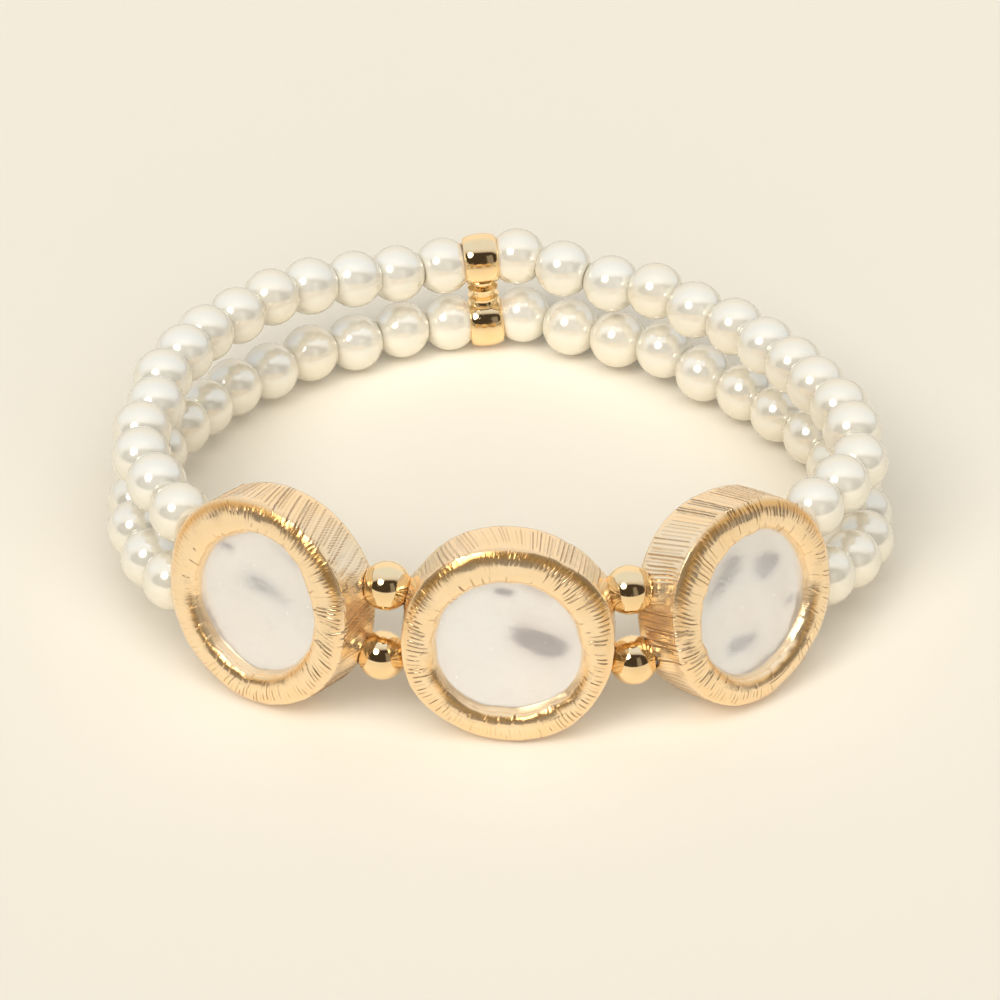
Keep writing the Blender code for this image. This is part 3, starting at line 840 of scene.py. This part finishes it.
def make_strand(level, material, settings):
    """All the pearls of one strand as one piece."""
    rng = np.random.default_rng(TONE_SEEDS[level])
    points = []
    faces = []
    tones = []
    holes = []
    for side in ("left", "right"):
        for centre, direction, pitch in zip(*run_places((level, side))):
            diameter = settings.pearl_diameter / MM * rng.normal(1.0, SIZE_SPREAD)
            section = pearl_section(diameter, pitch - PEARL_GAP)
            local = turned_points(section, PEARL_SIDES)
            size = len(section) * PEARL_SIDES
            turn = Vector(direction).to_track_quat("X", "Z").to_matrix()
            turn = turn @ Matrix.Rotation(rng.uniform(0, 6.28), 3, "X")
            faces += grid_faces(len(section), PEARL_SIDES, start=len(points) * size)
            points.append(local.reshape(-1, 3) @ np.array(turn).T + centre)
            tones.append(np.full(size, rng.random()))
            inside = np.zeros(len(section))
            inside[[0, 1, 2, -3, -2, -1]] = 1.0
            holes.append(np.repeat(inside, PEARL_SIDES))
    marks = {"tone": np.concatenate(tones), "hole": np.concatenate(holes)}
    piece = add_piece("pearls_" + level + "_strung", np.concatenate(points), faces, material, marks)
    stand_for(piece, "pearls_" + level)


def hole_point(side, level, across):
    """A point of a strand's way through a bezel, in metres."""
    return bezel_matrix(side) @ (Vector((across, 0, HOLE_HEIGHTS[level])) * MM)


def strand_loop(level):
    """The elastic's whole path: through the pearls, the bezels and the balls."""
    left = run_places((level, "left"))[0]
    right = run_places((level, "right"))[0]
    through = []
    for side in SIDES:
        for across in (-BEZEL_RADIUS, 0.0, BEZEL_RADIUS):
            through.append(np.array(hole_point(side, level, across)) / MM)
    return np.concatenate([left, np.array(through), right[::-1]])


def make_elastic(level, material):
    """The clear cord that shows between the pieces strung on it."""
    path = strand_loop(level)
    ahead = np.roll(path, -1, axis=0) - np.roll(path, 1, axis=0)
    ahead /= np.linalg.norm(ahead, axis=1, keepdims=True)
    across = np.cross(ahead, (0.0, 0.0, 1.0))
    across /= np.linalg.norm(across, axis=1, keepdims=True)
    upward = np.cross(across, ahead)
    turns = 2 * np.pi * np.arange(ELASTIC_SIDES) / ELASTIC_SIDES
    rings = (path[:, None] + ELASTIC_RADIUS * (upward[:, None] * np.cos(turns)[:, None]
                                               + across[:, None] * np.sin(turns)[:, None]))
    faces = grid_faces(len(path), ELASTIC_SIDES, True)
    piece = add_piece("elastic_" + level, rings, faces, material)
    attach(piece, BODY)


def make_ball(pair, level, material, settings):
    """One polished ball, drilled for its strand."""
    low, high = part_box("gold_ball_" + pair + "_" + level)
    radius = settings.ball_diameter / 2 / MM
    rolled = [(-radius + 0.7, 0.50), (-radius + 0.2, 0.52), (-radius + 0.125, 0.56)]
    skin = half_section(radius, math.asin(BALL_HOLE / radius), BALL_STEPS)
    section = drilled_section(rolled, skin)
    points = turned_points(section, BALL_SIDES)
    faces = grid_faces(len(section), BALL_SIDES, True)
    start_side, end_side = ("left", "centre") if pair == "left" else ("centre", "right")
    begin = hole_point(start_side, level, BEZEL_RADIUS)
    end = hole_point(end_side, level, -BEZEL_RADIUS)
    turn = (end - begin).to_track_quat("X", "Z").to_matrix().to_4x4()
    matrix = Matrix.Translation((low + high) / 2) @ turn
    name = "gold_ball_" + pair + "_" + level
    piece = add_piece(name + "_polished", points, faces, material, None, matrix)
    stand_for(piece, name)


def make_spacer(material):
    """Two crowned rings on a ridged neck."""
    roll = Matrix.Rotation(math.radians(-SPACER_ROLL), 4, "Y")
    matrix = Matrix.Translation(Vector(SPACER_PLACE) * MM)
    matrix = matrix @ Matrix.Rotation(math.radians(SPACER_TURN), 4, "Z") @ roll
    ring = turned_points(RING_SECTION, RING_SIDES)
    neck = turned_points(NECK_SECTION, NECK_SIDES)[..., [1, 2, 0]]
    upper = ring + np.array((0, 0, RING_SPACING / 2))
    lower = ring - np.array((0, 0, RING_SPACING / 2))
    size = ring.size // 3
    faces = grid_faces(len(RING_SECTION), RING_SIDES, True)
    faces += grid_faces(len(RING_SECTION), RING_SIDES, True, start=size)
    faces += grid_faces(len(NECK_SECTION), NECK_SIDES, start=size * 2)
    points = np.concatenate([part.reshape(-1, 3) for part in (upper, lower, neck)])
    piece = add_piece("back_spacer_polished", points, faces, material, None, matrix)
    stand_for(piece, "back_spacer")


def make_floor(settings):
    """A wide sheet of paper under the bracelet."""
    points = [(x * FLOOR_HALF, y * FLOOR_HALF, 0) for x, y in ((-1, -1), (1, -1), (1, 1), (-1, 1))]
    floor = add_piece("floor", points, [(0, 1, 2, 3)], cream_paper(settings))


def add_light(name, lamp, strength, glossy=True):
    """A distant round light that shines on the bracelet from a direction."""
    direction, angle, colour = lamp
    light = bpy.data.lights.new(name, "SUN")
    light.angle = math.radians(angle)
    light.energy = strength
    light.color = colour
    item = add_object(name, light)
    item.location = Vector(direction).normalized() * LAMP_DISTANCE
    item.rotation_euler = Vector(direction).to_track_quat("Z", "Y").to_euler()
    item.visible_glossy = glossy
    return light


def light_tent(settings):
    """The world: a pale tent with a dark gap at its front, which gives the polished
    pieces their dark band, and a lighter panel within it. Its roof and its back are
    brighter than its walls, and the wall at the right is shaded."""
    world = bpy.data.worlds.new("light_tent")
    bpy.context.scene.world = world
    finish = Finish(world)
    way = finish.node("ShaderNodeTexCoord", output="Generated")
    x, y, z = [finish.node("ShaderNodeSeparateXYZ", {}, {"Vector": way}, i) for i in range(3)]
    flat = (x * x + y * y + 0.0001) ** 0.5
    ahead = y * -1.0 / flat
    rightward = x / flat
    aside = x * x

    def rise(value, low, high):
        """The same smooth rise as smooth_step gives, in nodes."""
        inputs = {"Value": value, "From Min": low, "From Max": high}
        return finish.node("ShaderNodeMapRange", {"interpolation_type": "SMOOTHSTEP"}, inputs)

    # The roof comes lower towards the sides, so it looks round on a ball
    arch = z + aside * (aside * 0.3 + 0.3)
    gap = rise(ahead, 0.03, 0.24) * rise(z, -0.01, 0.03) * (1 - rise(arch, 0.82, 0.90))
    panel = rise(rightward, 0.30, 0.36) * (1 - rise(rightward, 0.62, 0.68))
    panel = panel * (1 - rise(z, 0.62, 0.68))
    behind = y.math("MAXIMUM", y, 0.0)
    roof = rise(arch + behind * 0.85, 0.86, 0.98)
    shade = rise(rightward, 0.1, 0.8) * (1 - rise(z, 0.3, 0.6))
    wall = finish.blend(shade, settings.low_tent, settings.shaded_tent)
    sky = finish.blend(rise(y, 0.40, 0.90), settings.high_tent, settings.back_tent)
    tent = finish.blend(roof, wall, sky)
    dark = finish.blend(panel, GAP_LIGHT, PANEL_LIGHT)
    colour = finish.blend(gap, tent, dark)
    background = finish.tree.nodes["Background"]
    connect(finish.tree, background.inputs["Color"], colour)
    background.inputs["Strength"].default_value = 1.0
    world.cycles_visibility.diffuse = False


def make_camera(settings):
    """A long lens that looks down on the bracelet from the front."""
    camera = bpy.data.cameras.new("camera")
    camera.lens = LENS_MM
    camera.sensor_width = SENSOR_MM
    camera.clip_start = 0.05
    viewer = add_object("camera", camera)
    back = Vector((0, -math.cos(settings.elevation), math.sin(settings.elevation)))
    viewer.location = (Vector(VIEW_CENTRE) + back * VIEW_DISTANCE) * MM
    viewer.rotation_euler = back.to_track_quat("Z", "Y").to_euler()
    bpy.context.scene.camera = viewer


class BraceletSettings(bpy.types.PropertyGroup):
    """Sizes and colours of the bracelet itself."""
    pearl_diameter: FloatProperty(
        name="Pearl diameter", description="Diameter of a pearl across its string",
        default=5.0 * MM, min=0.001, unit="LENGTH")
    ball_diameter: FloatProperty(
        name="Ball diameter", description="Diameter of a gold ball",
        default=3.98 * MM, min=0.001, unit="LENGTH")
    mark_depth: FloatProperty(
        name="Mark depth", description="Depth of a usual tool mark on a bezel",
        default=0.07 * MM, min=0.0, unit="LENGTH")
    relief: FloatProperty(
        name="Shell relief", description="How strongly the shell plates are hammered",
        default=1.0, min=0.0, subtype="FACTOR")
    gold: FloatVectorProperty(
        name="Bezel gold", description="Colour of the cast gold plate",
        default=(0.98, 0.765, 0.495), subtype="COLOR")
    polish: FloatVectorProperty(
        name="Polished gold", description="Colour of the balls and the spacer",
        default=(0.98, 0.75, 0.44), subtype="COLOR")
    pearl: FloatVectorProperty(
        name="Pearl", description="Body colour of the pearls",
        default=(0.85, 0.80, 0.675), subtype="COLOR")
    shell: FloatVectorProperty(
        name="Shell", description="Body colour of the shell plates",
        default=(0.82, 0.80, 0.78), subtype="COLOR")


class StudioSettings(bpy.types.PropertyGroup):
    """The floor, the lights and the camera."""
    floor: FloatVectorProperty(
        name="Paper", description="Colour of the paper floor",
        default=(0.88, 0.82, 0.695), subtype="COLOR")
    low_tent: FloatVectorProperty(
        name="Tent walls", description="Light from the walls of the tent",
        default=(0.70, 0.67, 0.66), subtype="COLOR")
    shaded_tent: FloatVectorProperty(
        name="Shaded wall", description="Light from the wall at the right",
        default=(0.46, 0.43, 0.41), subtype="COLOR")
    high_tent: FloatVectorProperty(
        name="Tent roof", description="Light from the roof of the tent",
        default=(0.82, 0.90, 1.02), subtype="COLOR", soft_max=2.0)
    back_tent: FloatVectorProperty(
        name="Tent back", description="Light from the back of the tent",
        default=(1.05, 0.96, 0.84), subtype="COLOR", soft_max=2.0)
    key_strength: FloatProperty(
        name="Key light", description="Strength of the round light at the left front",
        default=0.87, min=0.0)
    fill_strength: FloatProperty(
        name="Fill light", description="Strength of the even light that casts no shadow",
        default=0.75, min=0.0)
    front_strength: FloatProperty(
        name="Front light", description="Strength of the light above the camera",
        default=2.62, min=0.0)
    elevation: FloatProperty(
        name="Camera height", description="How high the camera looks from",
        default=math.radians(33.0), unit="ROTATION")


class BRACELET_OT_bezels(bpy.types.Operator):
    """Make the three cast and hammered bezels"""
    bl_idname = "bracelet.bezels"
    bl_label = "Bezels"

    def execute(self, context):
        settings = context.scene.bracelet
        material = bezel_gold(settings)
        for side in SIDES:
            make_bezel(side, material, settings)
        return {"FINISHED"}


class BRACELET_OT_inlays(bpy.types.Operator):
    """Make the shell plates in the bezels"""
    bl_idname = "bracelet.inlays"
    bl_label = "Shell plates"

    def execute(self, context):
        settings = context.scene.bracelet
        material = shell_lustre(settings)
        for side in SIDES:
            make_inlay(side, material, settings)
        return {"FINISHED"}


class BRACELET_OT_pearls(bpy.types.Operator):
    """Make both strands of pearls"""
    bl_idname = "bracelet.pearls"
    bl_label = "Pearls"

    def execute(self, context):
        settings = context.scene.bracelet
        material = pearl_lustre(settings)
        for level in LEVELS:
            make_strand(level, material, settings)
        return {"FINISHED"}


class BRACELET_OT_elastics(bpy.types.Operator):
    """Make the clear elastic of both strands"""
    bl_idname = "bracelet.elastics"
    bl_label = "Elastic"

    def execute(self, context):
        material = clear_elastic()
        for level in LEVELS:
            make_elastic(level, material)
        return {"FINISHED"}


class BRACELET_OT_polished(bpy.types.Operator):
    """Make the gold balls and the spacer"""
    bl_idname = "bracelet.polished"
    bl_label = "Balls and spacer"

    def execute(self, context):
        settings = context.scene.bracelet
        material = polished_gold(settings)
        for level in LEVELS:
            for pair in ("left", "right"):
                make_ball(pair, level, material, settings)
        make_spacer(material)
        return {"FINISHED"}


class BRACELET_OT_stage(bpy.types.Operator):
    """Make the floor, the lights and the camera"""
    bl_idname = "bracelet.stage"
    bl_label = "Stage"

    def execute(self, context):
        settings = context.scene.bracelet_studio
        make_floor(settings)
        light_tent(settings)
        add_light("key", KEY_LAMP, settings.key_strength)
        add_light("front", FRONT_LAMP, settings.front_strength, glossy=False)
        fill = add_light("fill", FILL_LAMP, settings.fill_strength, glossy=False)
        fill.use_shadow = False
        make_camera(settings)
        context.scene.view_settings.view_transform = "Standard"
        return {"FINISHED"}


class BRACELET_PT_panel(bpy.types.Panel):
    """The bracelet's sizes, colours and steps"""
    bl_label = "Pearl Bracelet"
    bl_space_type = "VIEW_3D"
    bl_region_type = "UI"
    bl_category = "Bracelet"

    def draw(self, context):
        groups = {"Bracelet": context.scene.bracelet, "Studio": context.scene.bracelet_studio}
        for title, group in groups.items():
            box = self.layout.box()
            box.label(text=title)
            for name in group.__annotations__:
                box.prop(group, name)
        for operator in STEPS:
            self.layout.operator(operator.bl_idname)


STEPS = (BRACELET_OT_bezels, BRACELET_OT_inlays, BRACELET_OT_pearls, BRACELET_OT_elastics,
         BRACELET_OT_polished, BRACELET_OT_stage)
CLASSES = (BraceletSettings, StudioSettings, *STEPS, BRACELET_PT_panel)


def register():
    for cls in CLASSES:
        bpy.utils.register_class(cls)
    bpy.types.Scene.bracelet = PointerProperty(type=BraceletSettings)
    bpy.types.Scene.bracelet_studio = PointerProperty(type=StudioSettings)


def unregister():
    del bpy.types.Scene.bracelet_studio
    del bpy.types.Scene.bracelet
    for cls in reversed(CLASSES):
        bpy.utils.unregister_class(cls)


def main():
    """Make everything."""
    register()
    bpy.ops.bracelet.stage()
    bpy.ops.bracelet.bezels()
    bpy.ops.bracelet.inlays()
    bpy.ops.bracelet.pearls()
    bpy.ops.bracelet.elastics()
    bpy.ops.bracelet.polished()


if __name__ == "__main__":
    main()
